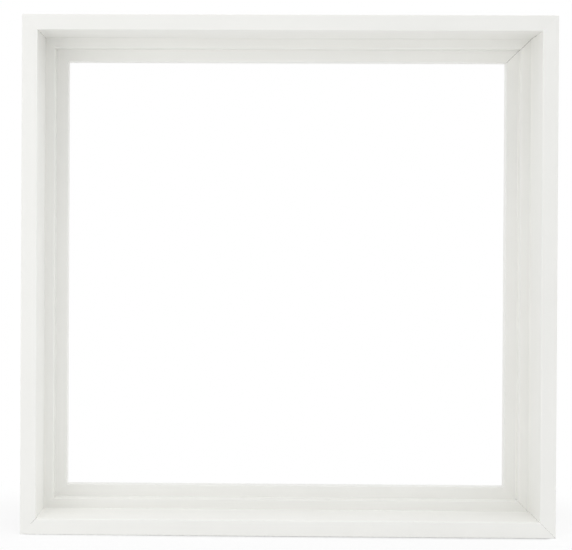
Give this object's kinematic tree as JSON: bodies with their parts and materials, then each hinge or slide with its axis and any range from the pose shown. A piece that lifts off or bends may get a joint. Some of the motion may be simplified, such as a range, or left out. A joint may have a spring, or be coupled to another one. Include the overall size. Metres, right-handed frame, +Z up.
{
  "type": "floating picture frame",
  "caption": "Deep stepped picture frame with mitred corners, an open well that shows a gap round a canvas, and swinging ring hangers on its back.",
  "frame": {"origin": "middle of the bottom rail's underside, at half the frame's depth, where the frame stands", "axes": "+X to the viewer's right along the width, +Y from the front to the back, +Z up; the front faces -Y"},
  "size_m": [0.34, 0.0543, 0.331],
  "materials": {
    "white_lacquer": "off-white satin lacquer on wood",
    "nail_steel": "dull spring steel strip",
    "plated_steel": "bright zinc plating",
    "clear_rubber": "soft translucent bumper"
  },
  "bodies": {
    "frame": {"rail_bottom": "white_lacquer", "rail_right": "white_lacquer", "rail_top": "white_lacquer", "rail_left": "white_lacquer", "v_nail_bottom_left_outer": "nail_steel", "v_nail_bottom_left_inner": "nail_steel", "v_nail_bottom_right_outer": "nail_steel", "v_nail_bottom_right_inner": "nail_steel", "v_nail_top_right_outer": "nail_steel", "v_nail_top_right_inner": "nail_steel", "v_nail_top_left_outer": "nail_steel", "v_nail_top_left_inner": "nail_steel", "hanger_left_strap": "plated_steel", "hanger_left_screw": "plated_steel", "hanger_right_strap": "plated_steel", "hanger_right_screw": "plated_steel", "bumper_left": "clear_rubber", "bumper_right": "clear_rubber"},
    "ring_left": {"hanger_left_ring": "plated_steel"},
    "ring_right": {"hanger_right_ring": "plated_steel"}
  },
  "joints": [
    {"name": "left_ring_swing", "type": "hinge", "parent": "frame", "child": "ring_left", "pos_m": [-0.15675, 0.0272, 0.241], "axis": [1, 0, 0], "range_deg": [0, 175]},
    {"name": "right_ring_swing", "type": "hinge", "parent": "frame", "child": "ring_right", "pos_m": [0.15675, 0.0272, 0.241], "axis": [1, 0, 0], "range_deg": [0, 175]}
  ]
}
